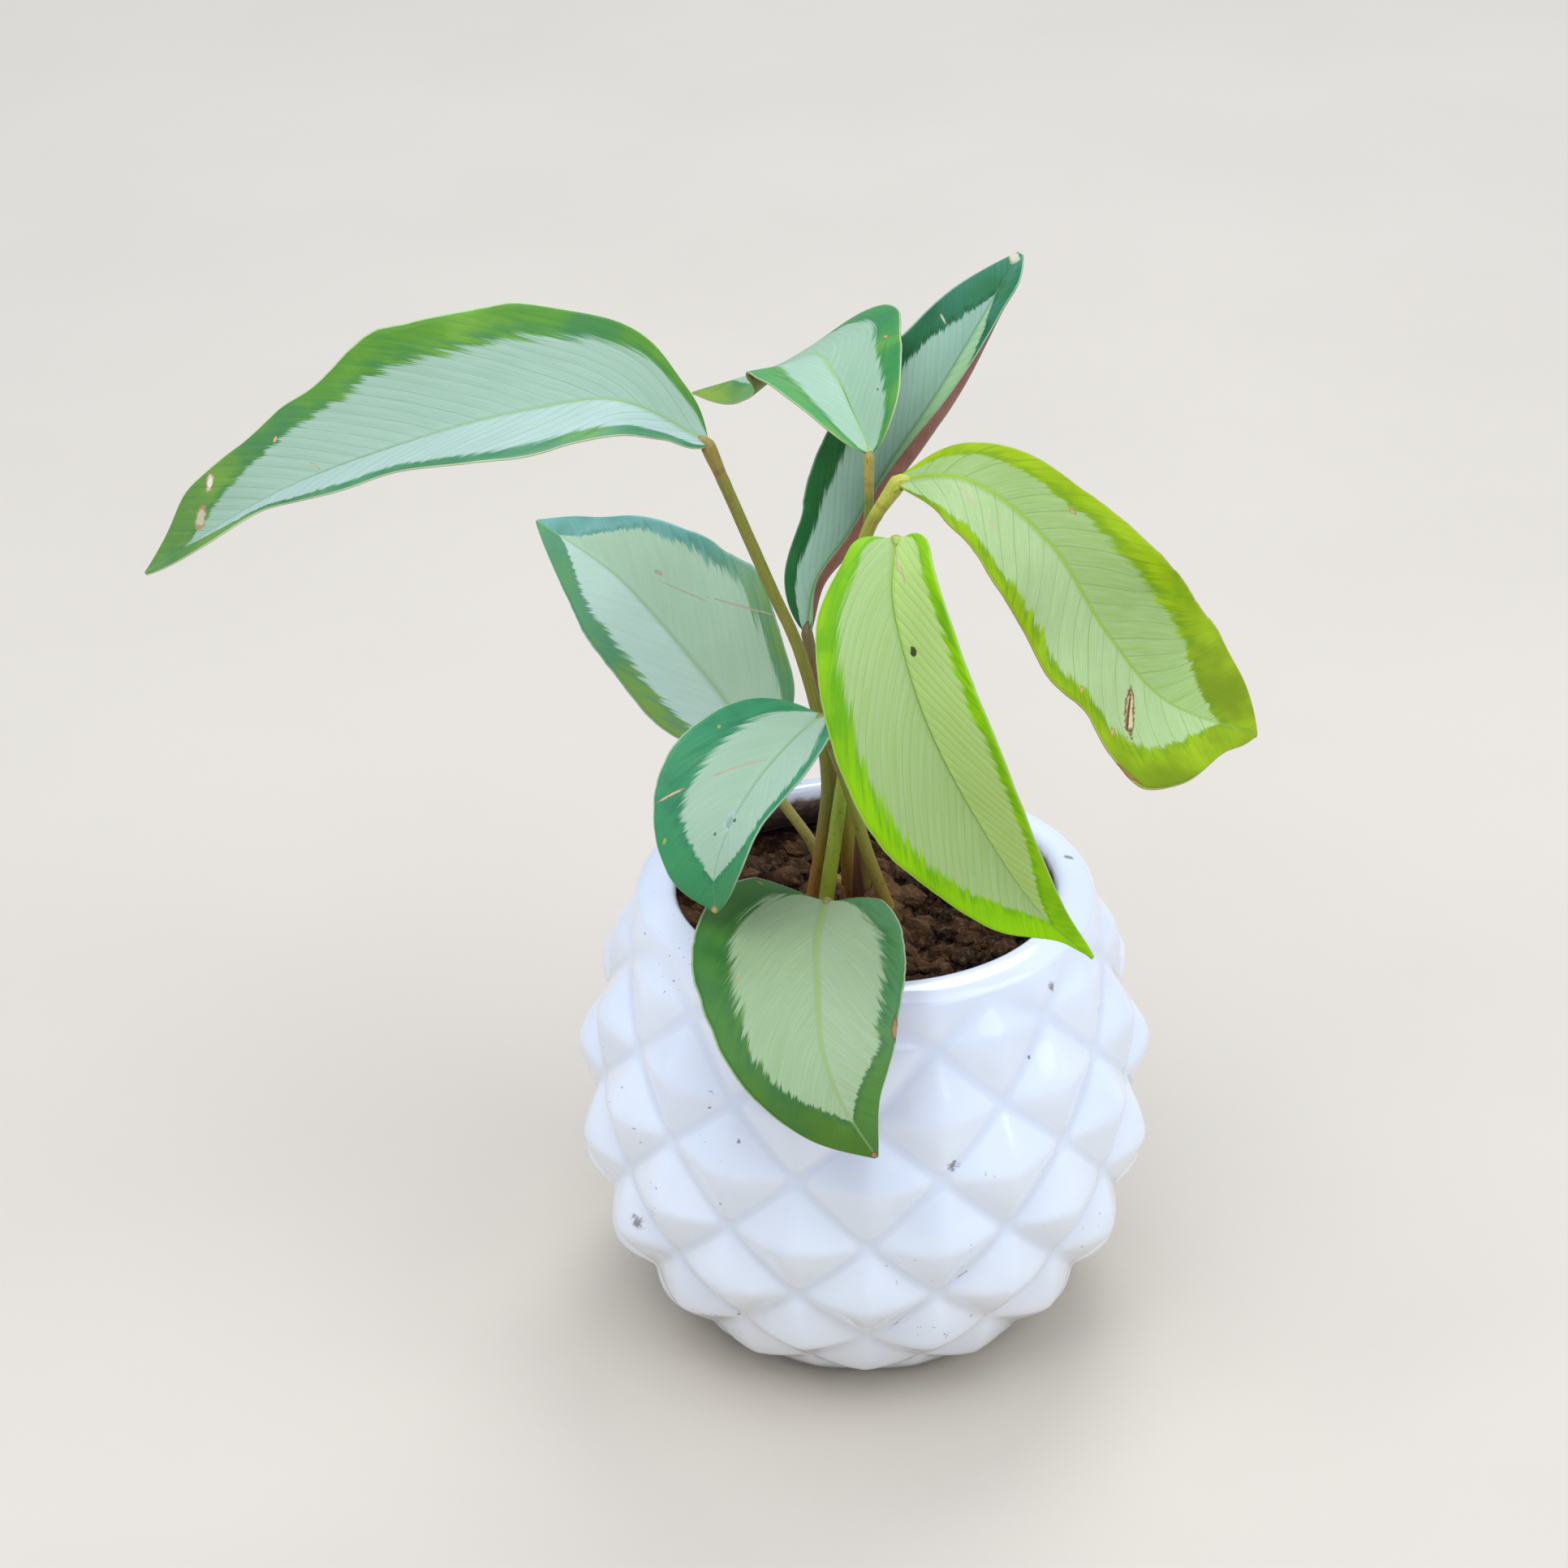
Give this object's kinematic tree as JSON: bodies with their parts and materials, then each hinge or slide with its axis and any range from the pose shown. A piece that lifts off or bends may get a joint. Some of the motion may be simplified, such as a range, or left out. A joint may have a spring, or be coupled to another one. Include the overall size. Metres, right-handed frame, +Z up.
{
  "type": "potted calathea",
  "caption": "Small houseplant with broad silvery leaves on thin stalks, in a round white ceramic pot with a soft diamond relief.",
  "frame": {"origin": "centre of the pot's flat foot, on the surface that it stands on", "axes": "+Z up along the pot's axis, +X to the viewer's right and +Y away from the viewer"},
  "size_m": [0.2295, 0.1527, 0.2326],
  "materials": {
    "pot": "glossy white glazed ceramic",
    "soil": "dark brown crumbly soil",
    "leaf": "silvery green leaf with a satin face",
    "leaf_bright": "yellow-green leaf with a satin face",
    "leaf_dark": "deep green leaf with a satin face",
    "stem_olive": "olive leaf stalk",
    "stem_brown": "brown leaf stalk",
    "stem_lime": "yellowish leaf stalk",
    "stem_green": "fresh green leaf stalk",
    "sheath": "dry reddish brown sheath scale"
  },
  "bodies": {
    "root": {"pot": "pot", "soil": "soil", "leaf_long_left": "leaf", "leaf_top_folded": "leaf", "leaf_tall_back": "leaf_dark", "leaf_right": "leaf_bright", "leaf_front": "leaf_bright", "leaf_back_left": "leaf", "leaf_small_left": "leaf", "leaf_front_low": "leaf", "stem_long_left": "stem_olive", "stem_top_folded": "stem_olive", "stem_tall_back": "stem_brown", "stem_right": "stem_lime", "stem_front": "stem_green", "stem_back_left": "stem_olive", "stem_small_left": "stem_olive", "stem_front_low": "stem_olive", "sheath_tall": "sheath", "sheath_short": "sheath"}
  },
  "joints": []
}
